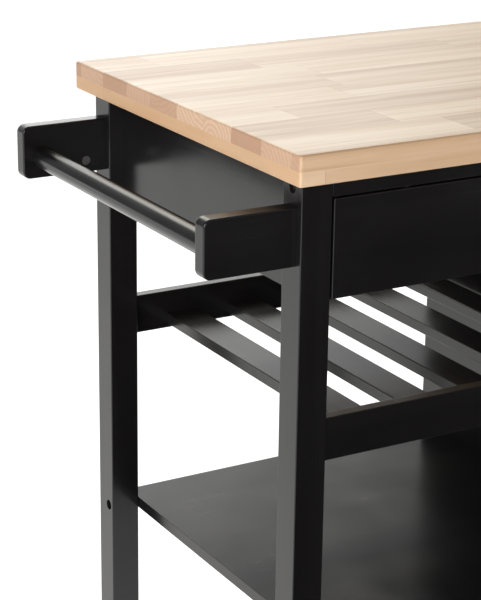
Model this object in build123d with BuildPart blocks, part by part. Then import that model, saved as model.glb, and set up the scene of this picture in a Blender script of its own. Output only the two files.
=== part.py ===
from build123d import *
import os

os.makedirs("parts", exist_ok=True)

# Kitchen island cart, in millimetres.
# X runs along the length (the towel bar is at the -X end), Y runs from the
# drawer side (front, -Y) to the back, Z is up.  The origin is on the floor,
# under the middle of the frame.

# ---------------------------------------------------------------- driving sizes
overall_height = 860.0
frame_length = 1100.0
frame_depth = 516.0

worktop_thickness = 36.0
worktop_end_overhang = 17.5
worktop_side_overhang = 23.0
worktop_corner_radius = 4.0
worktop_top_round = 3.0
worktop_bottom_round = 2.0

leg_width = 40.0
leg_depth = 40.0
leg_edge_round = 1.5
caster_height = 75.0

board = 15.0                  # thickness of panels, rails and the lower shelf
board_edge_round = 1.0
side_panel_setback = 20.0     # from the legs' outer faces
apron_setback = 3.0           # from the legs' back faces
apron_height = 141.5          # side panels and back apron, below the worktop
top_rail_height = 22.0
top_rail_depth = 36.0

slat_rail_drop = 284.5        # worktop underside down to the top of the slat rails
slat_rail_height = 53.0
slat_rail_front_setback = 2.0
slat_rail_back_setback = 5.0
slat_drop = 317.0             # worktop underside down to the top of the slats
slat_width = 47.5
slat_thickness = 15.0
slat_pitch = 95.6
slat_count = 10

shelf_drop = 572.0            # worktop underside down to the top of the lower shelf
shelf_back_setback = 7.0
partition_thickness = 20.0

bracket_reach = 116.5
bracket_thickness = 20.0
bracket_height = 69.0
bracket_drop = 31.0
bracket_corner = 10.0
bracket_edge_round = 2.0
towel_bar_diameter = 29.0
towel_bar_inset = 27.5        # bar centre, in from the outer end of the brackets
towel_bar_drop = 73.0         # worktop underside down to the bar's centre
towel_bar_socket = 8.0

drawer_front_thickness = 16.0
drawer_front_round = 1.2
drawer_gap = 2.5
drawer_box_clearance = 3.0
drawer_box_height = 95.0
drawer_box_length = 410.0
drawer_side_thickness = 15.0
drawer_bottom_thickness = 5.0
runner_height = 18.0
runner_bite = 8.0             # how far a runner reaches into the drawer side
slide_clearance = 0.3

# fittings
dowel_diameter = 8.0
slat_dowel_diameter = 6.0
slat_dowel_length = 20.0
cam_diameter = 12.0
cam_depth = 11.0
cam_recess = 0.5              # the cam sits this far below the face
cam_bolt_diameter = 6.0
bolt_diameter = 6.0
bolt_head_diameter = 13.0
bolt_head_recess = 14.0
barrel_nut_diameter = 10.0
screw_diameter = 4.0

# casters
wheel_diameter = 60.0
wheel_width = 22.0
wheel_trail = 20.0
hub_diameter = 46.0
axle_diameter = 6.0
fork_sheet = 2.5
kingpin_diameter = 8.0

# ---------------------------------------------------------------- worked out from those
underside = overall_height - worktop_thickness
frame_half_length = frame_length / 2
frame_half_depth = frame_depth / 2
bay_half_length = frame_half_length - leg_width
leg_inner_y = frame_half_depth - leg_depth
apron_bottom = underside - apron_height
drawer_front_top = underside - top_rail_height - drawer_gap
slat_rail_top = underside - slat_rail_drop
slat_rail_bottom = slat_rail_top - slat_rail_height
slat_top = underside - slat_drop
slat_bottom = slat_top - slat_thickness
shelf_top = underside - shelf_drop
shelf_bottom = shelf_top - board
shelf_back_y = frame_half_depth - shelf_back_setback
partition_half = partition_thickness / 2
front_rail_inner_y = -frame_half_depth + slat_rail_front_setback + board
back_rail_inner_y = frame_half_depth - slat_rail_back_setback - board
side_panel_outer_x = frame_half_length - side_panel_setback
side_panel_inner_x = side_panel_outer_x - board
apron_back_y = frame_half_depth - apron_setback
apron_front_y = apron_back_y - board
bracket_top = underside - bracket_drop
bracket_bottom = bracket_top - bracket_height
bracket_middle_y = frame_half_depth - leg_depth / 2
towel_bar_x = -frame_half_length - bracket_reach + towel_bar_inset
towel_bar_z = underside - towel_bar_drop

RIGHT = (1, 0, 0)
LEFT = (-1, 0, 0)
FRONT = (0, -1, 0)
BACK = (0, 1, 0)
UP = (0, 0, 1)
DOWN = (0, 0, -1)


# ---------------------------------------------------------------- helpers
def block(x_span, y_span, z_span, mode=Mode.ADD):
    """A rectangular block in the part being built, from its limits along each axis."""
    with BuildSketch(Plane.XY.offset(z_span[0])) as outline:
        with Locations(((x_span[0] + x_span[1]) / 2, (y_span[0] + y_span[1]) / 2)):
            Rectangle(x_span[1] - x_span[0], y_span[1] - y_span[0])
    extrude(outline.sketch, amount=z_span[1] - z_span[0], mode=mode)


def rod(start, direction, length, diameter, mode=Mode.ADD):
    """A round rod, or with Mode.SUBTRACT a bore, from a start point along a direction."""
    with BuildSketch(Plane(origin=start, z_dir=direction)) as section:
        Circle(diameter / 2)
    extrude(section.sketch, amount=length, mode=mode)


def bore(start, direction, length, diameter):
    """Drill a round hole in the part being built."""
    rod(start, direction, length, diameter, mode=Mode.SUBTRACT)


def shift(point, direction, distance):
    """The point moved along an axis direction."""
    return tuple(p + d * distance for p, d in zip(point, direction))


def save(part, name):
    """Label a finished piece and write its STEP file."""
    part.label = name
    export_step(part, "parts/" + name + ".step")


# ---------------------------------------------------------------- where the fittings go
# Cam fittings pull a board's end against a leg.  Each has the point where the
# bolt crosses from leg to board, the direction from leg to board, and the
# direction in which the open side of the cam faces.
cam_distance = 28.5
cam_bolt_in_leg = 10.0
bracket_fitting_margin = 15.5  # from a bracket's lower and upper edges
panel_fitting_margin = 35.0    # from a panel's lower and upper edges

bracket_cam_z = bracket_bottom + bracket_fitting_margin
bracket_cams = [
    ((-frame_half_length, -bracket_middle_y, bracket_cam_z), LEFT, BACK),
    ((-frame_half_length, bracket_middle_y, bracket_cam_z), LEFT, FRONT),
]
rail_cam_z = (slat_rail_top + slat_rail_bottom) / 2
front_rail_middle_y = front_rail_inner_y - board / 2
back_rail_middle_y = back_rail_inner_y + board / 2
rail_cams = {
    "front": [
        ((-bay_half_length, front_rail_middle_y, rail_cam_z), RIGHT, BACK),
        ((bay_half_length, front_rail_middle_y, rail_cam_z), LEFT, BACK),
    ],
    "back": [
        ((-bay_half_length, back_rail_middle_y, rail_cam_z), RIGHT, BACK),
        ((bay_half_length, back_rail_middle_y, rail_cam_z), LEFT, BACK),
    ],
}
panel_cam_heights = (underside - panel_fitting_margin, apron_bottom + panel_fitting_margin)
apron_cams = [
    ((side * bay_half_length, (apron_front_y + apron_back_y) / 2, height), inward, FRONT)
    for side, inward in ((-1, RIGHT), (1, LEFT))
    for height in panel_cam_heights
]
side_panel_middle_x = (side_panel_outer_x + side_panel_inner_x) / 2
side_panel_cams = {
    side: [
        ((side * side_panel_middle_x, end * leg_inner_y, height), inward, (-side, 0, 0))
        for end, inward in ((-1, BACK), (1, FRONT))
        for height in panel_cam_heights
    ]
    for side in (-1, 1)
}
all_cams = bracket_cams + rail_cams["front"] + rail_cams["back"] + apron_cams
all_cams = all_cams + side_panel_cams[-1] + side_panel_cams[1]


def cut_cam(cam, thickness):
    """Cut one cam pocket and its bolt hole in a board."""
    crossing, into_board, open_side = cam
    centre = shift(crossing, into_board, cam_distance)
    bore(crossing, into_board, cam_distance, cam_bolt_diameter)
    bore(shift(centre, open_side, thickness / 2), shift((0, 0, 0), open_side, -1), cam_depth, cam_diameter)


def cut_cam_bolt(cam):
    """Cut the hole for one cam's bolt in a leg."""
    crossing, into_board, _ = cam
    bore(crossing, shift((0, 0, 0), into_board, -1), cam_bolt_in_leg, cam_bolt_diameter)


# Bolts pass through the legs into the front top rail and the lower shelf.
bolt_recess_depth = 12.0
bolt_reach = 32.0             # from the leg's inner face to the barrel nut's centre
bolt_end_room = 8.0           # bore past the barrel nut's centre
barrel_nut_cap = 3.0          # wood left above a barrel nut
top_bolt_y = -frame_half_depth + leg_depth / 2
top_bolt_z = underside - top_rail_height / 2
shelf_bolt_y = frame_half_depth - 28.6
shelf_bolt_z = shelf_top - board / 2
bolts = {
    (-1, -1): [(top_bolt_y, top_bolt_z), (-shelf_bolt_y, shelf_bolt_z)],
    (1, -1): [(top_bolt_y, top_bolt_z), (-shelf_bolt_y, shelf_bolt_z)],
    (-1, 1): [(shelf_bolt_y, shelf_bolt_z)],
    (1, 1): [(shelf_bolt_y, shelf_bolt_z)],
}


def cut_leg_bolt(side, y, z):
    """Cut a bolt's clearance hole and head recess through a leg, from its outer face."""
    outer_face = (side * frame_half_length, y, z)
    inward = (-side, 0, 0)
    bore(outer_face, inward, leg_width, bolt_diameter)
    bore(outer_face, inward, bolt_recess_depth, bolt_head_recess)


def cut_bolt_end(side, y, z, nut_length):
    """Cut the bolt hole and the barrel nut's hole near the end of a board, nut from below."""
    board_end = (side * bay_half_length, y, z)
    nut_bottom = (side * (bay_half_length - bolt_reach), y, z - nut_length / 2)
    bore(board_end, (-side, 0, 0), bolt_reach + bolt_end_room, bolt_diameter)
    bore(nut_bottom, UP, nut_length - barrel_nut_cap, barrel_nut_diameter)


# Plain dowels: start point, direction and length.
dowel_length = 30.0
dowel_in_leg = 12.0
dowel_in_shelf = 10.0
shelf_dowel_offset = 13.5     # from the bolt beside it
partition_dowel_y = (-180.0, 0.0, 180.0)

bracket_dowel_z = bracket_top - bracket_fitting_margin
bracket_dowels = [
    ((-frame_half_length + dowel_in_leg, end * bracket_middle_y, bracket_dowel_z), LEFT, dowel_length)
    for end in (-1, 1)
]
partition_dowels = [((0, y, shelf_top - dowel_in_shelf), UP, dowel_length) for y in partition_dowel_y]
shelf_dowel_x = bay_half_length + dowel_in_leg
shelf_dowel_y = shelf_bolt_y + shelf_dowel_offset
shelf_dowels = [
    ((side * shelf_dowel_x, end * shelf_dowel_y, shelf_bolt_z), inward, dowel_length)
    for side, inward in ((-1, RIGHT), (1, LEFT))
    for end in (-1, 1)
]
slat_x = [(i - (slat_count - 1) / 2) * slat_pitch for i in range(slat_count)]
slat_middle_z = (slat_top + slat_bottom) / 2
slat_dowels = []
for x in slat_x:
    in_front_rail = (x, front_rail_inner_y - slat_dowel_length / 2, slat_middle_z)
    in_back_rail = (x, back_rail_inner_y + slat_dowel_length / 2, slat_middle_z)
    slat_dowels.append((in_front_rail, BACK, slat_dowel_length))
    slat_dowels.append((in_back_rail, FRONT, slat_dowel_length))

# ---------------------------------------------------------------- worktop
worktop_screw_x = (-400.0, -130.0, 130.0, 400.0)
worktop_screw_y = -frame_half_depth + top_rail_depth / 2
angle_leg = 25.0
angle_width = 30.0
angle_sheet = 2.0
angle_screw_inset = 8.0       # from the edge of an angle's upper leaf
angle_screw_y = apron_front_y - angle_leg + angle_screw_inset
apron_screw_z = underside - 15.0
apron_screw_bite = 12.0
screw_bite = 20.0

with BuildPart() as worktop:
    block(
        (-frame_half_length - worktop_end_overhang, frame_half_length + worktop_end_overhang),
        (-frame_half_depth - worktop_side_overhang, frame_half_depth + worktop_side_overhang),
        (underside, overall_height),
    )
    fillet(worktop.edges().filter_by(Axis.Z), radius=worktop_corner_radius)
    fillet(worktop.faces().sort_by(Axis.Z)[-1].edges(), radius=worktop_top_round)
    fillet(worktop.faces().sort_by(Axis.Z)[0].edges(), radius=worktop_bottom_round)
    for x in worktop_screw_x:
        bore((x, worktop_screw_y, underside), UP, screw_bite, screw_diameter)
        bore((x, angle_screw_y, underside), UP, screw_bite, screw_diameter)
save(worktop.part, "worktop")

# ---------------------------------------------------------------- legs
stem_diameter = 10.0
stem_length = 30.0
leg_names = {
    (-1, -1): "leg_front_left",
    (1, -1): "leg_front_right",
    (-1, 1): "leg_back_left",
    (1, 1): "leg_back_right",
}


def leg_centre(side, end):
    """The middle of a leg in plan."""
    return side * (frame_half_length - leg_width / 2), end * (frame_half_depth - leg_depth / 2)


def touches_leg(point, side, end):
    """Whether a crossing point lies on a leg's faces or inside it."""
    x, y = leg_centre(side, end)
    return abs(point[0] - x) <= leg_width / 2 + 0.01 and abs(point[1] - y) <= leg_depth / 2 + 0.01


for (side, end), name in leg_names.items():
    x, y = leg_centre(side, end)
    with BuildPart() as leg:
        block(
            (x - leg_width / 2, x + leg_width / 2),
            (y - leg_depth / 2, y + leg_depth / 2),
            (caster_height, underside),
        )
        fillet(leg.edges().filter_by(Axis.Z), radius=leg_edge_round)
        for bolt_y, bolt_z in bolts[(side, end)]:
            cut_leg_bolt(side, bolt_y, bolt_z)
        for cam in all_cams:
            if touches_leg(cam[0], side, end):
                cut_cam_bolt(cam)
        for start, direction, length in bracket_dowels + shelf_dowels:
            if touches_leg(start, side, end):
                bore(start, direction, length, dowel_diameter)
        bore((x, y, caster_height), UP, stem_length, stem_diameter)
    save(leg.part, name)

# ---------------------------------------------------------------- front top rail
with BuildPart() as front_top_rail:
    block(
        (-bay_half_length, bay_half_length),
        (-frame_half_depth, -frame_half_depth + top_rail_depth),
        (underside - top_rail_height, underside),
    )
    for side in (-1, 1):
        cut_bolt_end(side, top_bolt_y, top_bolt_z, top_rail_height)
    for x in worktop_screw_x:
        bore((x, worktop_screw_y, underside - top_rail_height), UP, top_rail_height, screw_diameter)
save(front_top_rail.part, "front_top_rail")

# ---------------------------------------------------------------- side panels
for side, name in ((-1, "side_panel_left"), (1, "side_panel_right")):
    x_span = sorted((side * side_panel_inner_x, side * side_panel_outer_x))
    with BuildPart() as side_panel:
        block(x_span, (-leg_inner_y, leg_inner_y), (apron_bottom, underside))
        for cam in side_panel_cams[side]:
            cut_cam(cam, board)
    save(side_panel.part, name)

# ---------------------------------------------------------------- back apron
with BuildPart() as back_apron:
    block((-bay_half_length, bay_half_length), (apron_front_y, apron_back_y), (apron_bottom, underside))
    for cam in apron_cams:
        cut_cam(cam, board)
    for x in worktop_screw_x:
        bore((x, apron_front_y, apron_screw_z), BACK, apron_screw_bite, screw_diameter)
save(back_apron.part, "back_apron")

# ---------------------------------------------------------------- centre partition
with BuildPart() as centre_partition:
    partition_x_span = (-partition_half, partition_half)
    block(partition_x_span, (front_rail_inner_y, shelf_back_y), (shelf_top, underside))
    block(
        partition_x_span,
        (front_rail_inner_y, -frame_half_depth + top_rail_depth),
        (underside - top_rail_height, underside),
        mode=Mode.SUBTRACT,
    )
    block(
        partition_x_span,
        (apron_front_y, shelf_back_y),
        (apron_bottom, underside),
        mode=Mode.SUBTRACT,
    )
    block(
        partition_x_span,
        (back_rail_inner_y, shelf_back_y),
        (slat_rail_bottom, slat_rail_top),
        mode=Mode.SUBTRACT,
    )
    for start, direction, length in partition_dowels:
        bore(start, direction, length, dowel_diameter)
save(centre_partition.part, "centre_partition")

# ---------------------------------------------------------------- slat rails
rail_y_spans = {
    "front": (front_rail_inner_y - board, front_rail_inner_y),
    "back": (back_rail_inner_y, back_rail_inner_y + board),
}
for where, y_span in rail_y_spans.items():
    with BuildPart() as slat_rail:
        block((-bay_half_length, bay_half_length), y_span, (slat_rail_bottom, slat_rail_top))
        fillet(slat_rail.edges().filter_by(Axis.X), radius=board_edge_round)
        for cam in rail_cams[where]:
            cut_cam(cam, board)
        for start, direction, length in slat_dowels:
            if y_span[0] <= start[1] <= y_span[1]:
                bore(start, direction, length, slat_dowel_diameter)
    save(slat_rail.part, "slat_rail_" + where)

# ---------------------------------------------------------------- slats
for number, x in enumerate(slat_x, start=1):
    with BuildPart() as slat:
        block(
            (x - slat_width / 2, x + slat_width / 2),
            (front_rail_inner_y, back_rail_inner_y),
            (slat_bottom, slat_top),
        )
        fillet(slat.edges().filter_by(Axis.Y), radius=board_edge_round)
        for start, direction, length in slat_dowels:
            if start[0] == x:
                bore(start, direction, length, slat_dowel_diameter)
    save(slat.part, f"slat_{number:02d}")

# ---------------------------------------------------------------- lower shelf
with BuildPart() as lower_shelf:
    block(
        (-bay_half_length, bay_half_length),
        (-frame_half_depth, shelf_back_y),
        (shelf_bottom, shelf_top),
    )
    fillet(lower_shelf.edges().filter_by(Axis.X), radius=board_edge_round)
    for side in (-1, 1):
        for end in (-1, 1):
            cut_bolt_end(side, end * shelf_bolt_y, shelf_bolt_z, board)
    for start, direction, length in shelf_dowels + partition_dowels:
        bore(start, direction, length, dowel_diameter)
save(lower_shelf.part, "lower_shelf")

# ---------------------------------------------------------------- towel bar and its brackets
for end, name in ((-1, "towel_bracket_front"), (1, "towel_bracket_back")):
    inner_face_y = end * (bracket_middle_y - bracket_thickness / 2)
    with BuildPart() as bracket:
        block(
            (-frame_half_length - bracket_reach, -frame_half_length),
            (end * bracket_middle_y - bracket_thickness / 2, end * bracket_middle_y + bracket_thickness / 2),
            (bracket_bottom, bracket_top),
        )
        fillet(bracket.edges().filter_by(Axis.Y).group_by(Axis.X)[0], radius=bracket_corner)
        outline_edges = bracket.faces().filter_by(Axis.Y).edges().sort_by(Axis.X)
        fillet(outline_edges[:-2], radius=bracket_edge_round)
        bore((towel_bar_x, inner_face_y, towel_bar_z), (0, end, 0), towel_bar_socket, towel_bar_diameter)
        for cam in bracket_cams:
            if cam[0][1] * end > 0:
                cut_cam(cam, bracket_thickness)
        for start, direction, length in bracket_dowels:
            if start[1] * end > 0:
                bore(start, direction, length, dowel_diameter)
    save(bracket.part, name)

with BuildPart() as towel_bar:
    half_bar = bracket_middle_y - bracket_thickness / 2 + towel_bar_socket
    rod((towel_bar_x, -half_bar, towel_bar_z), BACK, 2 * half_bar, towel_bar_diameter)
save(towel_bar.part, "towel_bar")

# ---------------------------------------------------------------- fasteners
cross_length = 6.0
cross_width = 1.4
cross_depth = 1.5

with BuildPart() as connector_nuts:
    for crossing, into_board, open_side in all_cams:
        thickness = bracket_thickness if crossing[0] == -frame_half_length else board
        centre = shift(crossing, into_board, cam_distance)
        rim = shift(centre, open_side, thickness / 2 - cam_recess)
        into_pocket = shift((0, 0, 0), open_side, -1)
        rod(rim, into_pocket, cam_depth - cam_recess, cam_diameter)
        with BuildSketch(Plane(origin=rim, z_dir=into_pocket)) as cross_recess:
            Rectangle(cross_length, cross_width)
            Rectangle(cross_width, cross_length)
        extrude(cross_recess.sketch, amount=cross_depth, mode=Mode.SUBTRACT)
    for (side, end), places in bolts.items():
        for y, z in places:
            thickness = top_rail_height if z == top_bolt_z else board
            x = side * (bay_half_length - bolt_reach)
            rod((x, y, z - thickness / 2), UP, thickness - barrel_nut_cap, barrel_nut_diameter)
            bore((x - barrel_nut_diameter, y, z), RIGHT, 2 * barrel_nut_diameter, bolt_diameter)
save(connector_nuts.part, "connector_nuts")

bolt_head_height = 4.0
hex_socket_radius = 2.3
hex_socket_depth = 2.5

with BuildPart() as connector_bolts:
    for crossing, into_board, _ in all_cams:
        in_leg = shift(crossing, into_board, -cam_bolt_in_leg)
        rod(in_leg, into_board, cam_bolt_in_leg + cam_distance - cam_diameter / 2, cam_bolt_diameter)
    for (side, end), places in bolts.items():
        for y, z in places:
            head = (side * (frame_half_length - bolt_recess_depth + bolt_head_height), y, z)
            inward = (-side, 0, 0)
            shank = leg_width - bolt_recess_depth + bolt_reach + bolt_end_room
            rod(head, inward, bolt_head_height, bolt_head_diameter)
            rod(shift(head, inward, bolt_head_height), inward, shank, bolt_diameter)
            with BuildSketch(Plane(origin=head, z_dir=inward)) as hex_socket:
                RegularPolygon(radius=hex_socket_radius, side_count=6)
            extrude(hex_socket.sketch, amount=hex_socket_depth, mode=Mode.SUBTRACT)
save(connector_bolts.part, "connector_bolts")

with BuildPart() as dowels:
    for start, direction, length in bracket_dowels + partition_dowels + shelf_dowels:
        rod(start, direction, length, dowel_diameter)
    for start, direction, length in slat_dowels:
        rod(start, direction, length, slat_dowel_diameter)
save(dowels.part, "dowels")

with BuildPart() as worktop_angles:
    for x in worktop_screw_x:
        width = (x - angle_width / 2, x + angle_width / 2)
        block(width, (apron_front_y - angle_leg, apron_front_y), (underside - angle_sheet, underside))
        block(width, (apron_front_y - angle_sheet, apron_front_y), (underside - angle_leg, underside))
        bore((x, angle_screw_y, underside - angle_sheet), UP, angle_sheet, screw_diameter)
        bore((x, apron_front_y - angle_sheet, apron_screw_z), BACK, angle_sheet, screw_diameter)
save(worktop_angles.part, "worktop_angles")

screw_head_diameter = 8.0
screw_head_height = 2.5
with BuildPart() as worktop_screws:
    for x in worktop_screw_x:
        front_head = (x, worktop_screw_y, underside - top_rail_height - screw_head_height)
        rod(front_head, UP, screw_head_height, screw_head_diameter)
        rod(front_head, UP, screw_head_height + top_rail_height + screw_bite, screw_diameter)
        back_head = (x, angle_screw_y, underside - angle_sheet - screw_head_height)
        rod(back_head, UP, screw_head_height, screw_head_diameter)
        rod(back_head, UP, screw_head_height + angle_sheet + screw_bite, screw_diameter)
        apron_head = (x, apron_front_y - angle_sheet - screw_head_height, apron_screw_z)
        rod(apron_head, BACK, screw_head_height, screw_head_diameter)
        rod(apron_head, BACK, screw_head_height + angle_sheet + apron_screw_bite, screw_diameter)
save(worktop_screws.part, "worktop_screws")

# ---------------------------------------------------------------- drawers
drawer_front_y = -frame_half_depth
box_front_y = drawer_front_y + drawer_front_thickness
box_back_y = box_front_y + drawer_box_length
box_bottom = apron_bottom + 8.0
box_top = box_bottom + drawer_box_height
back_panel_drop = 10.0        # the box's back is lower than its sides
runner_bottom = box_bottom + 45.0
runner_y_span = (-leg_inner_y + 1.0, box_back_y - 20.0)
runner_groove_stop = 12.0     # from the drawer front to the runner's groove
groove_depth = 5.0
bottom_panel_z = box_bottom + 8.0

# knob, a turned profile: distance out from the drawer front, and radius
knob_base_radius = 8.0
knob_base_reach = 3.0
knob_waist = (7.0, 5.5)
knob_neck = (12.0, 6.5)
knob_widest = (18.0, 15.0)
knob_reach = 26.0
knob_screw_head = (9.0, 2.5)

for side, name in ((-1, "left"), (1, "right")):
    outer_x = side * (bay_half_length - drawer_box_clearance)
    inner_x = side * (partition_half + drawer_box_clearance)
    front_x_span = sorted((side * (bay_half_length - drawer_gap), side * drawer_gap / 2))
    front_middle_x = (front_x_span[0] + front_x_span[1]) / 2
    front_middle_z = (apron_bottom + drawer_front_top) / 2
    box_x_span = sorted((outer_x, inner_x))
    panel_x_span = (
        box_x_span[0] + drawer_side_thickness - groove_depth,
        box_x_span[1] - drawer_side_thickness + groove_depth,
    )
    panel_y_span = (box_front_y, box_back_y - drawer_side_thickness + groove_depth)
    panel_z_span = (bottom_panel_z, bottom_panel_z + drawer_bottom_thickness)
    knob_base = (front_middle_x, drawer_front_y, front_middle_z)

    with BuildPart() as drawer_front:
        block(front_x_span, (drawer_front_y, box_front_y), (apron_bottom, drawer_front_top))
        fillet(drawer_front.faces().sort_by(Axis.Y)[0].edges(), radius=drawer_front_round)
        bore(knob_base, BACK, drawer_front_thickness, screw_diameter)
    save(drawer_front.part, f"drawer_{name}_front")

    drawer_sides = {
        "outer": (outer_x, -side),
        "inner": (inner_x, side),
    }
    for where, (face_x, into_box) in drawer_sides.items():
        side_x_span = sorted((face_x, face_x + into_box * drawer_side_thickness))
        groove_x_span = sorted((face_x, face_x + into_box * (runner_bite + slide_clearance)))
        with BuildPart() as drawer_side:
            block(side_x_span, (box_front_y, box_back_y), (box_bottom, box_top))
            block(
                groove_x_span,
                (box_front_y + runner_groove_stop, box_back_y),
                (runner_bottom - slide_clearance, runner_bottom + runner_height + slide_clearance),
                mode=Mode.SUBTRACT,
            )
            block(panel_x_span, panel_y_span, panel_z_span, mode=Mode.SUBTRACT)
        save(drawer_side.part, f"drawer_{name}_side_{where}")

    with BuildPart() as drawer_back:
        block(
            (box_x_span[0] + drawer_side_thickness, box_x_span[1] - drawer_side_thickness),
            (box_back_y - drawer_side_thickness, box_back_y),
            (box_bottom, box_top - back_panel_drop),
        )
        block(panel_x_span, panel_y_span, panel_z_span, mode=Mode.SUBTRACT)
    save(drawer_back.part, f"drawer_{name}_back")

    with BuildPart() as drawer_bottom:
        block(panel_x_span, panel_y_span, panel_z_span)
    save(drawer_bottom.part, f"drawer_{name}_bottom")

    def knob_point(reach, radius):
        return drawer_front_y - reach, front_middle_z + radius

    with BuildPart() as drawer_knob:
        with BuildSketch(Plane.YZ.offset(front_middle_x)) as knob_profile:
            with BuildLine():
                Polyline(
                    knob_point(0, 0),
                    knob_point(0, knob_base_radius),
                    knob_point(knob_base_reach, knob_base_radius),
                    knob_point(*knob_waist),
                    knob_point(*knob_neck),
                )
                Spline(
                    knob_point(*knob_neck),
                    knob_point(*knob_widest),
                    knob_point(knob_reach, 0),
                    tangents=((-0.6, 1), (0, -1)),
                )
                Line(knob_point(knob_reach, 0), knob_point(0, 0))
            make_face()
        revolve(knob_profile.sketch, axis=Axis((front_middle_x, 0, front_middle_z), BACK))
        screw_start = (front_middle_x, box_front_y, front_middle_z)
        rod(screw_start, FRONT, drawer_front_thickness, screw_diameter)
        rod(shift(screw_start, BACK, knob_screw_head[1]), FRONT, knob_screw_head[1], knob_screw_head[0])
    save(drawer_knob.part, f"drawer_{name}_knob")

with BuildPart() as drawer_runners:
    runner_reach = drawer_box_clearance + runner_bite
    runner_z_span = (runner_bottom, runner_bottom + runner_height)
    for side in (-1, 1):
        outer_span = sorted((side * side_panel_inner_x, side * (bay_half_length - runner_reach)))
        inner_span = sorted((side * partition_half, side * (partition_half + runner_reach)))
        block(outer_span, runner_y_span, runner_z_span)
        block(inner_span, runner_y_span, runner_z_span)
save(drawer_runners.part, "drawer_runners")

# ---------------------------------------------------------------- casters
# Each caster's fork swivels about the stem; its wheel trails towards -X at rest.
trail_heading = -1
axle_z = wheel_diameter / 2
crown_top = caster_height - 4.6
crown_thickness = 3.5
crown_bottom = crown_top - crown_thickness
fork_gap = wheel_width + 2.0
fork_half_width = fork_gap / 2 + fork_sheet
crown_half_length = 17.0
cheek_end_radius = 9.0
ear_reach = 31.0
ear_height = 11.0
rivet_head = (11.0, 1.8)
flange_diameter = 32.0
bearing_diameter = 24.0
kingpin_head = (14.0, 2.5)
tread_edge_radius = 4.0
hub_dish = 3.0
hub_inset = 1.0               # the hub is this much narrower than the tyre
hub_rim = 4.0
hub_boss_radius = 8.0
stem_flange_height = 3.0
bearing_gap = 0.4
kingpin_head_gap = 0.5
pedal_pivot_reach = 26.0
pedal_pivot_z = 65.0
pedal_pin_diameter = 3.0
pedal_barrel_diameter = 6.5
pedal_width = 21.0
pedal_sheet = 2.5
pedal_corner = 4.0
pedal_lift = 0.7              # underside of the tread above the pivot's centre
tread_width = 30.0
tread_span = (10.0, 34.0)
running_clearance = 0.1

with BuildPart() as caster_stems:
    for side, end in leg_names:
        x, y = leg_centre(side, end)
        flange_bottom = caster_height - stem_flange_height
        bearing_bottom = crown_top + bearing_gap
        head_top = crown_bottom - kingpin_head_gap
        rod((x, y, caster_height), UP, stem_length, stem_diameter)
        rod((x, y, flange_bottom), UP, stem_flange_height, flange_diameter)
        rod((x, y, bearing_bottom), UP, flange_bottom - bearing_bottom, bearing_diameter)
        rod((x, y, head_top), UP, bearing_bottom - head_top, kingpin_diameter)
        rod((x, y, head_top - kingpin_head[1]), UP, kingpin_head[1], kingpin_head[0])
save(caster_stems.part, "caster_stems")

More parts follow.
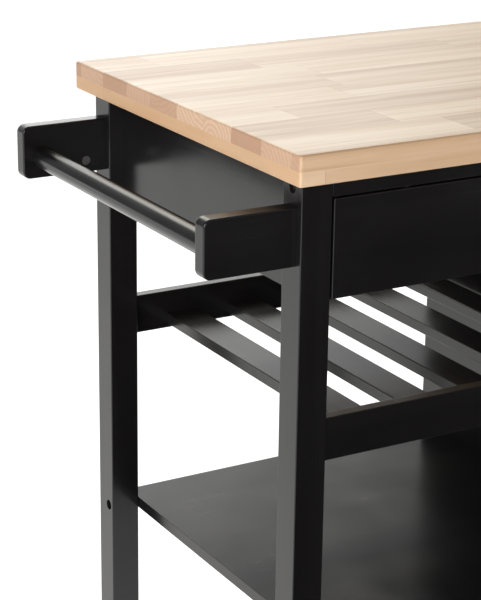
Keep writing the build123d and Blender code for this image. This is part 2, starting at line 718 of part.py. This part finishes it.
for (side, end), leg_name in leg_names.items():
    corner = leg_name.replace("leg_", "")
    x, y = leg_centre(side, end)
    braked = end == -1
    wheel_x = x + trail_heading * wheel_trail
    pivot_x = x + trail_heading * pedal_pivot_reach

    with BuildPart() as fork:
        for cheek in (-1, 1):
            cheek_plane = Plane(origin=(x, y + cheek * fork_gap / 2, 0), x_dir=RIGHT, z_dir=(0, cheek, 0))
            with BuildSketch(cheek_plane) as cheek_outline:
                with Locations((trail_heading * wheel_trail, -cheek * axle_z)):
                    Circle(cheek_end_radius)
                ear_middle = trail_heading * (ear_reach - crown_half_length) / 2
                with Locations((ear_middle, -cheek * (crown_top - ear_height / 2))):
                    Rectangle(ear_reach + crown_half_length, ear_height)
                make_hull()
            extrude(cheek_outline.sketch, amount=fork_sheet)
        block(
            (x - crown_half_length, x + crown_half_length),
            (y - fork_half_width, y + fork_half_width),
            (crown_bottom, crown_top),
        )
        bore((x, y, crown_bottom), UP, crown_thickness, kingpin_diameter + 2 * running_clearance)
        if braked:
            rod((pivot_x, y - fork_half_width, pedal_pivot_z), BACK, 2 * fork_half_width, pedal_pin_diameter)
        rod((wheel_x, y - fork_half_width, axle_z), BACK, 2 * fork_half_width, axle_diameter)
        for outer_y, outward in ((y - fork_half_width, FRONT), (y + fork_half_width, BACK)):
            rod((wheel_x, outer_y, axle_z), outward, rivet_head[1], rivet_head[0])
    save(fork.part, f"caster_{corner}_fork")

    with BuildPart() as hub:
        hub_width = wheel_width - hub_inset
        rod((wheel_x, y - hub_width / 2, axle_z), BACK, hub_width, hub_diameter)
        for face_y, inward in ((y - hub_width / 2, BACK), (y + hub_width / 2, FRONT)):
            with BuildSketch(Plane(origin=(wheel_x, face_y, axle_z), z_dir=inward)) as dish:
                Circle(hub_diameter / 2 - hub_rim)
                Circle(hub_boss_radius, mode=Mode.SUBTRACT)
            extrude(dish.sketch, amount=hub_dish, mode=Mode.SUBTRACT)
        bore((wheel_x, y - hub_width / 2, axle_z), BACK, hub_width, axle_diameter + 2 * running_clearance)
    save(hub.part, f"caster_{corner}_hub")

    with BuildPart() as tyre:
        rod((wheel_x, y - wheel_width / 2, axle_z), BACK, wheel_width, wheel_diameter)
        fillet(tyre.edges().filter_by(GeomType.CIRCLE), radius=tread_edge_radius)
        bore((wheel_x, y - wheel_width / 2, axle_z), BACK, wheel_width, hub_diameter)
    save(tyre.part, f"caster_{corner}_tyre")

    if braked:
        tread_z = pedal_pivot_z + pedal_lift
        tread_near_x = pivot_x + trail_heading * tread_span[0]
        tread_far_x = pivot_x + trail_heading * tread_span[1]
        arm_x_span = sorted((pivot_x, tread_far_x))
        tread_x_span = sorted((tread_near_x, tread_far_x))
        with BuildPart() as pedal:
            rod((pivot_x, y - pedal_width / 2, pedal_pivot_z), BACK, pedal_width, pedal_barrel_diameter)
            block(arm_x_span, (y - pedal_width / 2, y + pedal_width / 2), (tread_z, tread_z + pedal_sheet))
            block(tread_x_span, (y - tread_width / 2, y + tread_width / 2), (tread_z, tread_z + pedal_sheet))
            fillet(pedal.edges().filter_by(Axis.Z).group_by(Axis.X)[0], radius=pedal_corner)
            bore(
                (pivot_x, y - pedal_width / 2, pedal_pivot_z),
                BACK,
                pedal_width,
                pedal_pin_diameter + 2 * running_clearance,
            )
        save(pedal.part, f"caster_{corner}_brake_pedal")
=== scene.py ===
import math

import bmesh
import bpy
from mathutils import Matrix, Vector


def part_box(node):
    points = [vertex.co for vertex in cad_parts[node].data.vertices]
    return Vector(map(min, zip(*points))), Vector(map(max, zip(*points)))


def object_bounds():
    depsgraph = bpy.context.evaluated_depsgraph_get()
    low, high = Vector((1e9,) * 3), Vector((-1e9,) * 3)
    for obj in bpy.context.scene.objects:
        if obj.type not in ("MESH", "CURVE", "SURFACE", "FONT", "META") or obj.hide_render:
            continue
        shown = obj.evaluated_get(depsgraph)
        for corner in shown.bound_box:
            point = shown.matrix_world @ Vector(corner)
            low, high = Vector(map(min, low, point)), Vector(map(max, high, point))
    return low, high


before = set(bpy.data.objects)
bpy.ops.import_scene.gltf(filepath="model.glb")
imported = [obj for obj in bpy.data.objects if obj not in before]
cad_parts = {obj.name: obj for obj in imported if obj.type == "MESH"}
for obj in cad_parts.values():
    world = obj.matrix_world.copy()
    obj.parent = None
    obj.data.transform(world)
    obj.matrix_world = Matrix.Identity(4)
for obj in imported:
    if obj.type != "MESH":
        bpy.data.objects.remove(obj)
cad_low, cad_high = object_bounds()

# ---------------------------------------------------------------- places read from the frame
top_low, top_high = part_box("worktop")
slab_thickness = top_high.z - top_low.z

# ---------------------------------------------------------------- studio
white = (1, 1, 1, 1)
floor_radius = 14.0
floor_gap = 0.0005          # the floor lies this far under the tyres
flag_gap = 0.004            # and the flag this far over the tyres' lowest point
flag_corners = ((-1.0, -0.32), (3.2, -0.32), (3.2, -4.5), (-1.0, -4.5))

# strength of light given off by the floor and the world
floor_glow = 0.66
corner_glow = 0.66
far_glow = 0.6
band_glow = 2.6
room_glow = 0.18
seen_glow = 1.05
band_heading = (0.17, 0.985, 0.0)       # the middle of the world's bright band

camera_place = (-1.6251, -1.9880, 1.3714)
camera_turn = (30.02, 18.56, -0.74)     # degrees: to the right of +Y, downwards, roll
camera_sensor = 36.0
camera_lens = 116.4

# ---------------------------------------------------------------- finishes, in metres
stave_width = 0.066         # butcher block strips
stave_length = 0.31         # between finger joints
lower_layer_shift = 0.023   # joints of the block's lower layer, against the upper
edge_radius = 0.0009        # softened arris of painted boards


def add_node(tree, kind, inputs=None, **settings):
    """A new node. inputs maps a socket's name or number to a value or to another socket."""
    node = tree.nodes.new(kind)
    for name, value in settings.items():
        setattr(node, name, value)
    for name, value in (inputs or {}).items():
        if isinstance(value, bpy.types.NodeSocket):
            tree.links.new(value, node.inputs[name])
        else:
            node.inputs[name].default_value = value
    return node


class Graph:
    """The node tree of one material, with short calls to add and join its nodes."""

    def __init__(self, name):
        self.material = bpy.data.materials.new(name)
        self.material.use_nodes = True
        self.tree = self.material.node_tree
        self.tree.nodes.clear()

    def add(self, kind, inputs=None, **settings):
        return add_node(self.tree, kind, inputs, **settings)

    def math(self, operation, *values):
        return self.add("ShaderNodeMath", dict(enumerate(values)), operation=operation).outputs[0]

    def vector(self, operation, *values):
        return self.add("ShaderNodeVectorMath", dict(enumerate(values)), operation=operation).outputs[0]

    def mix(self, share, first, second):
        """Mixes two colours."""
        inputs = {"Factor": share, 6: first, 7: second}
        return self.add("ShaderNodeMix", inputs, data_type="RGBA").outputs[2]

    def between(self, value, low, high, new_low=0.0, new_high=1.0):
        """Remaps value from one range to another and clamps it."""
        inputs = {0: value, 1: low, 2: high, 3: new_low, 4: new_high}
        return self.add("ShaderNodeMapRange", inputs, interpolation_type="SMOOTHSTEP").outputs[0]

    def place(self):
        """The surface point, in metres, in the cart's own frame."""
        return self.add("ShaderNodeTexCoord").outputs["Object"]

    def stretched(self, scale):
        """The surface point with each axis scaled, for grain that runs one way."""
        return self.add("ShaderNodeMapping", {"Vector": self.place(), "Scale": scale}).outputs[0]

    def noise(self, where, scale, detail=2.0, roughness=0.5, distortion=0.0):
        inputs = {"Vector": where, "Scale": scale, "Detail": detail, "Roughness": roughness}
        inputs["Distortion"] = distortion
        return self.add("ShaderNodeTexNoise", inputs).outputs["Fac"]

    def worn_edge(self, radius):
        """1 on sharp edges, 0 on open faces."""
        rounded = self.add("ShaderNodeBevel", {"Radius": radius}, samples=4).outputs[0]
        true_normal = self.add("ShaderNodeNewGeometry").outputs["Normal"]
        facing = self.add("ShaderNodeVectorMath", {0: rounded, 1: true_normal}, operation="DOT_PRODUCT")
        return self.between(facing.outputs["Value"], 0.995, 0.86)

    def bump(self, height, distance, strength=1.0, normal=None):
        inputs = {"Height": height, "Distance": distance, "Strength": strength}
        if normal is not None:
            inputs["Normal"] = normal
        return self.add("ShaderNodeBump", inputs).outputs[0]

    def surface(self, inputs):
        shader = self.add("ShaderNodeBsdfPrincipled", inputs)
        self.add("ShaderNodeOutputMaterial", {"Surface": shader.outputs[0]})
        return self.material


def along(axis, along_scale, across_scale):
    """A scale for each axis, low along the grain and high across it."""
    scale = [across_scale] * 3
    scale["XYZ".index(axis)] = along_scale
    return scale


# ---------------------------------------------------------------- materials
def lacquered_wood(axis):
    """Black satin lacquer over solid wood whose grain runs along one axis."""
    g = Graph("black_lacquer_" + axis.lower())
    fibre = g.noise(g.stretched(along(axis, 3.0, 160.0)), 1.0, 3.0, 0.6)
    figure = g.noise(g.stretched(along(axis, 1.5, 28.0)), 1.0, 3.0, 0.55, 0.4)
    smear = g.noise(g.place(), 9.0, 2.0)
    orange_peel = g.noise(g.place(), 420.0, 1.0)
    edge = g.worn_edge(edge_radius)
    paint = g.mix(g.between(figure, 0.3, 0.7), (0.0054, 0.0047, 0.0051, 1), (0.0080, 0.0070, 0.0075, 1))
    paint = g.mix(g.math("MULTIPLY", edge, 0.5), paint, (0.030, 0.026, 0.026, 1))
    roughness = g.math("ADD", g.between(smear, 0.3, 0.7, 0.15, 0.21), g.math("MULTIPLY", fibre, 0.10))
    rounded = g.add("ShaderNodeBevel", {"Radius": edge_radius}, samples=4).outputs[0]
    pores = g.bump(fibre, 0.00005, 0.5, rounded)
    normal = g.bump(orange_peel, 0.00001, 0.4, pores)
    return g.surface({"Base Color": paint, "Roughness": roughness, "Normal": normal, "IOR": 1.5})


def butcher_block():
    """Oiled rubberwood staves: long grain along X, end grain on the ends, and a strip under the end grain."""
    g = Graph("rubberwood_block")
    place = g.add("ShaderNodeSeparateXYZ", {0: g.place()}).outputs
    x, y, z = place[0], place[1], place[2]
    facing = g.add("ShaderNodeSeparateXYZ", {0: g.add("ShaderNodeNewGeometry").outputs["Normal"]}).outputs
    on_end = g.math("GREATER_THAN", g.math("ABSOLUTE", facing[0]), 0.75)
    lower = g.math("LESS_THAN", z, top_low.z + slab_thickness * 0.48)

    # one number for each strip and each block along it
    across = g.math("DIVIDE", g.math("ADD", y, g.math("MULTIPLY", lower, lower_layer_shift)), stave_width)
    row = g.math("FLOOR", across)
    row_key = g.math("ADD", row, g.math("MULTIPLY", lower, 31.0))
    row_shift = g.add("ShaderNodeTexWhiteNoise", {"W": row_key}, noise_dimensions="1D").outputs["Value"]
    along_row = g.math("ADD", g.math("DIVIDE", x, stave_length), g.math("MULTIPLY", row_shift, 7.0))
    block = g.math("FLOOR", along_row)
    key = g.add("ShaderNodeCombineXYZ", {0: block, 1: row_key, 2: 0.5}).outputs[0]
    pick = g.add("ShaderNodeTexWhiteNoise", {"Vector": key}, noise_dimensions="3D")
    tone, tint = pick.outputs["Value"], pick.outputs["Color"]

    # the edge strip under each end runs the other way
    strip_block = g.math("FLOOR", g.math("DIVIDE", g.math("ADD", y, 0.07), 0.27))
    strip_pick = g.add("ShaderNodeTexWhiteNoise", {"W": strip_block}, noise_dimensions="1D").outputs["Value"]
    on_strip = g.math("MULTIPLY", on_end, lower)
    tone = g.add("ShaderNodeMix", {"Factor": on_strip, 2: tone, 3: strip_pick}).outputs[0]

    # long grain, shifted from block to block so that it doesn't run on across a joint
    shifted = g.vector("MULTIPLY_ADD", tint, (3.0, 3.0, 3.0), g.place())
    long_x = g.add("ShaderNodeMapping", {"Vector": shifted, "Scale": (2.2, 55.0, 55.0)}).outputs[0]
    long_y = g.add("ShaderNodeMapping", {"Vector": shifted, "Scale": (55.0, 3.0, 55.0)}).outputs[0]
    grain_x = g.noise(long_x, 1.0, 4.0, 0.6, 0.5)
    grain_y = g.noise(long_y, 1.0, 4.0, 0.6, 0.5)
    fine_x = g.noise(g.stretched((9.0, 420.0, 420.0)), 1.0, 2.0, 0.6)
    grain = g.add("ShaderNodeMix", {"Factor": on_strip, 2: grain_x, 3: grain_y}).outputs[0]

    # growth rings on the sawn ends, each block about its own heart
    heart = g.vector("MULTIPLY_ADD", tint, (0.0, 0.11, 0.12), (0.0, -0.055, -0.06))
    in_stave = g.math("SUBTRACT", y, g.math("MULTIPLY", g.math("ADD", row, 0.5), stave_width))
    below_top = g.math("SUBTRACT", z, top_high.z)
    local = g.add("ShaderNodeCombineXYZ", {0: 0.0, 1: in_stave, 2: below_top}).outputs[0]
    from_heart = g.add("ShaderNodeVectorMath", {0: local, 1: heart}, operation="DISTANCE").outputs["Value"]
    waver = g.noise(g.place(), 60.0, 2.0)
    ring_phase = g.math("ADD", g.math("MULTIPLY", from_heart, 900.0), g.math("MULTIPLY", waver, 5.0))
    rings = g.math("MULTIPLY_ADD", g.math("SINE", ring_phase), 0.5, 0.5)
    sawn = g.math("SUBTRACT", on_end, on_strip)
    pores = g.noise(g.stretched((90.0, 900.0, 900.0)), 1.0, 1.0)

    # colour
    pale = g.mix(g.between(grain, 0.32, 0.7), (0.80, 0.575, 0.375, 1), (0.71, 0.475, 0.29, 1))
    ruddy = g.mix(g.between(grain, 0.32, 0.7), (0.66, 0.425, 0.25, 1), (0.53, 0.305, 0.155, 1))
    wood = g.mix(g.between(tone, 0.35, 0.95), pale, ruddy)
    end_wood = g.mix(tone, (0.78, 0.53, 0.36, 1), (0.50, 0.275, 0.165, 1))
    end_wood = g.mix(g.math("MULTIPLY", rings, 0.42), end_wood, (0.50, 0.29, 0.18, 1))
    end_wood = g.mix(g.math("MULTIPLY", g.between(pores, 0.55, 0.75), 0.25), end_wood, (0.42, 0.24, 0.14, 1))
    wood = g.mix(g.math("MULTIPLY", on_strip, 0.7), wood, (0.64, 0.375, 0.19, 1))
    wood = g.mix(sawn, wood, end_wood)
    wood = g.mix(g.math("MULTIPLY", g.between(fine_x, 0.56, 0.76), 0.42), wood, (0.50, 0.29, 0.15, 1))

    # thin dark glue lines between strips and at the finger joints
    row_edge = g.math("ABSOLUTE", g.math("SUBTRACT", g.math("FRACT", across), 0.5))
    block_edge = g.math("ABSOLUTE", g.math("SUBTRACT", g.math("FRACT", along_row), 0.5))
    row_line = g.between(row_edge, 0.488, 0.498)
    block_line = g.math("MULTIPLY", g.between(block_edge, 0.4975, 0.4995), g.math("SUBTRACT", 1.0, on_end))
    line = g.math("MAXIMUM", row_line, block_line)
    line = g.math("MULTIPLY", line, g.math("SUBTRACT", 1.0, on_strip))
    wood = g.mix(g.math("MULTIPLY", line, 0.4), wood, (0.34, 0.20, 0.11, 1))
    roughness = g.between(grain, 0.3, 0.7, 0.46, 0.58)
    oil = g.math("MULTIPLY", g.between(grain, 0.3, 0.7, 0.85, 0.65), g.math("MULTIPLY_ADD", on_end, -0.85, 1.0))
    normal = g.bump(g.math("SUBTRACT", fine_x, line), 0.00006, 0.6)
    return g.surface({
        "Base Color": wood,
        "Roughness": roughness,
        "Normal": normal,
        "IOR": 1.45,
        "Coat Weight": oil,
        "Coat Roughness": 0.34,
    })


def bare_wood(axis):
    """Clear-coated birch of the drawer boxes."""
    g = Graph("birch_" + axis.lower())
    grain = g.noise(g.stretched(along(axis, 2.0, 70.0)), 1.0, 4.0, 0.6, 0.6)
    fibre = g.noise(g.stretched(along(axis, 8.0, 500.0)), 1.0, 2.0)
    wood = g.mix(g.between(grain, 0.3, 0.72), (0.70, 0.54, 0.36, 1), (0.58, 0.41, 0.25, 1))
    wood = g.mix(g.math("MULTIPLY", g.between(fibre, 0.55, 0.8), 0.3), wood, (0.40, 0.26, 0.15, 1))
    return g.surface({
        "Base Color": wood,
        "Roughness": g.between(grain, 0.3, 0.7, 0.42, 0.55),
        "Normal": g.bump(fibre, 0.00005, 0.6),
    })


def metal(name, colour, roughness, brush_axis=None):
    """Plated or brushed steel with slight stains."""
    g = Graph(name)
    stain = g.noise(g.place(), 70.0, 4.0, 0.6)
    if brush_axis:
        brush = g.noise(g.stretched(along(brush_axis, 30.0, 2500.0)), 1.0, 2.0)
    else:
        brush = g.noise(g.place(), 900.0, 2.0)
    tone = g.mix(g.math("MULTIPLY", g.between(stain, 0.55, 0.8), 0.25), colour, (0.12, 0.11, 0.10, 1))
    stained = g.between(stain, 0.3, 0.7, roughness, roughness + 0.1)
    rough = g.math("ADD", stained, g.math("MULTIPLY", brush, 0.06))
    normal = g.bump(brush, 0.00001, 0.5)
    return g.surface({"Base Color": tone, "Metallic": 1.0, "Roughness": rough, "Normal": normal})


def moulded(name, colour, roughness, grain_scale=900.0, depth=0.00003):
    """Moulded plastic or rubber with a fine spark-eroded grain."""
    g = Graph(name)
    grain = g.noise(g.place(), grain_scale, 2.0)
    patch = g.noise(g.place(), 35.0, 3.0)
    lighter = tuple(min(1.0, c * 1.5 + 0.01) for c in colour[:3]) + (1,)
    tone = g.mix(g.between(patch, 0.3, 0.75, 0.0, 0.6), colour, lighter)
    tone = g.mix(g.math("MULTIPLY", g.worn_edge(0.0006), 0.4), tone, lighter)
    rough = g.between(patch, 0.3, 0.7, roughness, roughness + 0.12)
    return g.surface({"Base Color": tone, "Roughness": rough, "Normal": g.bump(grain, depth, 0.6)})


def pale_floor():
    """Matt studio floor that gives off some light, and most of it far behind the cart."""
    g = Graph("studio_floor")
    place = g.add("ShaderNodeSeparateXYZ", {0: g.place()}).outputs
    cloud = g.noise(g.place(), 1.3, 3.0)
    tone = g.mix(cloud, (0.86, 0.86, 0.86, 1), (0.90, 0.90, 0.90, 1))
    towards_corner = g.math("SUBTRACT", place[1], place[0])
    near = g.between(towards_corner, 0.6, 2.2, floor_glow, corner_glow)
    glow = g.math("ADD", near, g.between(place[1], 3.2, 5.5, 0.0, far_glow))
    return g.surface({
        "Base Color": tone,
        "Roughness": 0.6,
        "Emission Color": white,
        "Emission Strength": glow,
    })


# ---------------------------------------------------------------- which node wears what
def grain_axis(name):
    """The way a board's grain runs: along its longest side."""
    low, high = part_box(name)
    size = high - low
    return "XYZ"[max(range(3), key=lambda i: size[i])]


black = {axis: lacquered_wood(axis) for axis in "XYZ"}
birch = {axis: bare_wood(axis) for axis in "XY"}
block_wood = butcher_block()
zinc = metal("zinc_plate", (0.62, 0.62, 0.60, 1), 0.28)
cam_steel = metal("cam_steel", (0.34, 0.33, 0.32, 1), 0.34)
nickel = metal("brushed_nickel", (0.66, 0.63, 0.58, 1), 0.22, "Z")
chrome = metal("bright_plate", (0.70, 0.70, 0.71, 1), 0.16)
grey_plastic = moulded("grey_plastic", (0.16, 0.16, 0.17, 1), 0.38)
black_rubber = moulded("black_rubber", (0.018, 0.018, 0.019, 1), 0.55, 1400.0, 0.00005)
black_plastic = moulded("black_plastic", (0.025, 0.025, 0.026, 1), 0.42)

for name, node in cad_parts.items():
    if name == "worktop":
        finish = block_wood
    elif "knob" in name:
        finish = nickel
    elif "_tyre" in name:
        finish = black_rubber
    elif "_hub" in name:
        finish = grey_plastic
    elif "pedal" in name:
        finish = black_plastic
    elif "_fork" in name or name == "caster_stems":
        finish = chrome
    elif name == "connector_nuts":
        finish = cam_steel
    elif name in ("connector_bolts", "worktop_angles", "worktop_screws"):
        finish = zinc
    elif name == "dowels":
        finish = birch["Y"]
    elif name.startswith("drawer_") and ("side" in name or "back" in name or "bottom" in name):
        finish = birch["Y" if "side" in name or "bottom" in name else "X"]
    else:
        finish = black[grain_axis(name)]
    node.data.materials.clear()
    node.data.materials.append(finish)


# ---------------------------------------------------------------- studio
def staged(name, mesh, height, finish):
    """Puts a mesh in the scene as a part of the studio."""
    piece = bpy.data.objects.new(name, mesh)
    bpy.context.scene.collection.objects.link(piece)
    piece.location = (0, 0, height)
    mesh.materials.append(finish)
    return piece


def make_floor():
    mesh = bpy.data.meshes.new("floor")
    shape = bmesh.new()
    bmesh.ops.create_circle(shape, cap_ends=True, radius=floor_radius, segments=96)
    shape.to_mesh(mesh)
    shape.free()
    staged("floor", mesh, cad_low.z - floor_gap, pale_floor())


def area_light(name, place, aim, size, power, colour=(1, 1, 1)):
    data = bpy.data.lights.new(name, "AREA")
    data.shape = "RECTANGLE"
    data.size, data.size_y = size
    data.energy = power
    data.color = colour
    light = bpy.data.objects.new(name, data)
    bpy.context.scene.collection.objects.link(light)
    light.location = place
    light.rotation_euler = (Vector(aim) - Vector(place)).to_track_quat("-Z", "Y").to_euler()


def make_flag():
    """A black card lying in front of the cart, seen only in reflections, so the lacquer stays dark."""
    mesh = bpy.data.meshes.new("flag")
    shape = bmesh.new()
    shape.faces.new([shape.verts.new((x, y, 0)) for x, y in flag_corners])
    shape.to_mesh(mesh)
    shape.free()
    g = Graph("flag_cloth")
    weave = g.noise(g.place(), 40.0)
    cloth = g.mix(weave, (0.02, 0.02, 0.02, 1), (0.03, 0.03, 0.03, 1))
    flag = staged("flag", mesh, cad_low.z + flag_gap, g.surface({"Base Color": cloth, "Roughness": 0.9}))
    flag.visible_camera = False
    flag.visible_diffuse = False
    flag.visible_shadow = False
    flag.visible_transmission = False


def make_world():
    """A bright band above the horizon behind the cart, dim elsewhere, and white to the camera."""
    world = bpy.data.worlds.new("studio")
    bpy.context.scene.world = world
    world.use_nodes = True
    tree = world.node_tree
    back = tree.nodes["Background"]

    def add(kind, inputs=None, **settings):
        return add_node(tree, kind, inputs, **settings).outputs

    def ramp(value, low, high):
        return add("ShaderNodeMapRange", {0: value, 1: low, 2: high}, interpolation_type="SMOOTHSTEP")[0]

    direction = add("ShaderNodeTexCoord")["Generated"]
    height = add("ShaderNodeSeparateXYZ", {0: direction})[2]
    facing = add("ShaderNodeVectorMath", {0: direction, 1: band_heading}, operation="DOT_PRODUCT")["Value"]
    limits = {0: ramp(height, -0.04, 0.10), 1: ramp(height, 0.80, 0.45)}
    band = add("ShaderNodeMath", limits, operation="MULTIPLY")[0]
    behind = add("ShaderNodeMath", {0: band, 1: ramp(facing, 0.81, 0.955)}, operation="MULTIPLY")[0]
    glow = add("ShaderNodeMath", {0: behind, 1: band_glow, 2: room_glow}, operation="MULTIPLY_ADD")[0]
    seen = add("ShaderNodeLightPath")["Is Camera Ray"]
    strength = add("ShaderNodeMix", {"Factor": seen, 2: glow, 3: seen_glow})[0]
    back.inputs["Color"].default_value = white
    tree.links.new(strength, back.inputs["Strength"])


def make_camera():
    """A long lens from the front left, above the worktop."""
    yaw, pitch, roll = (math.radians(angle) for angle in camera_turn)
    ahead = Vector((math.sin(yaw) * math.cos(pitch), math.cos(yaw) * math.cos(pitch), -math.sin(pitch)))
    level = Vector((math.cos(yaw), -math.sin(yaw), 0))
    upward = level.cross(ahead)
    right = level * math.cos(roll) - upward * math.sin(roll)
    top = level * math.sin(roll) + upward * math.cos(roll)
    data = bpy.data.cameras.new("camera")
    data.sensor_width = camera_sensor
    data.lens = camera_lens
    camera = bpy.data.objects.new("camera", data)
    bpy.context.scene.collection.objects.link(camera)
    turn = Matrix((right, top, -ahead)).transposed()
    camera.matrix_world = Matrix.Translation(camera_place) @ turn.to_4x4()
    bpy.context.scene.camera = camera


make_floor()
make_flag()
make_world()
make_camera()
area_light("key", (-3.2, -2.15, 1.9), (0, 0, 0.6), (1.8, 1.6), 84)
area_light("overhead", (0.5, 2.1, 2.8), (0, 0, 0.86), (2.8, 1.6), 44, (1.0, 0.985, 0.86))
bpy.context.scene.view_settings.view_transform = "Standard"
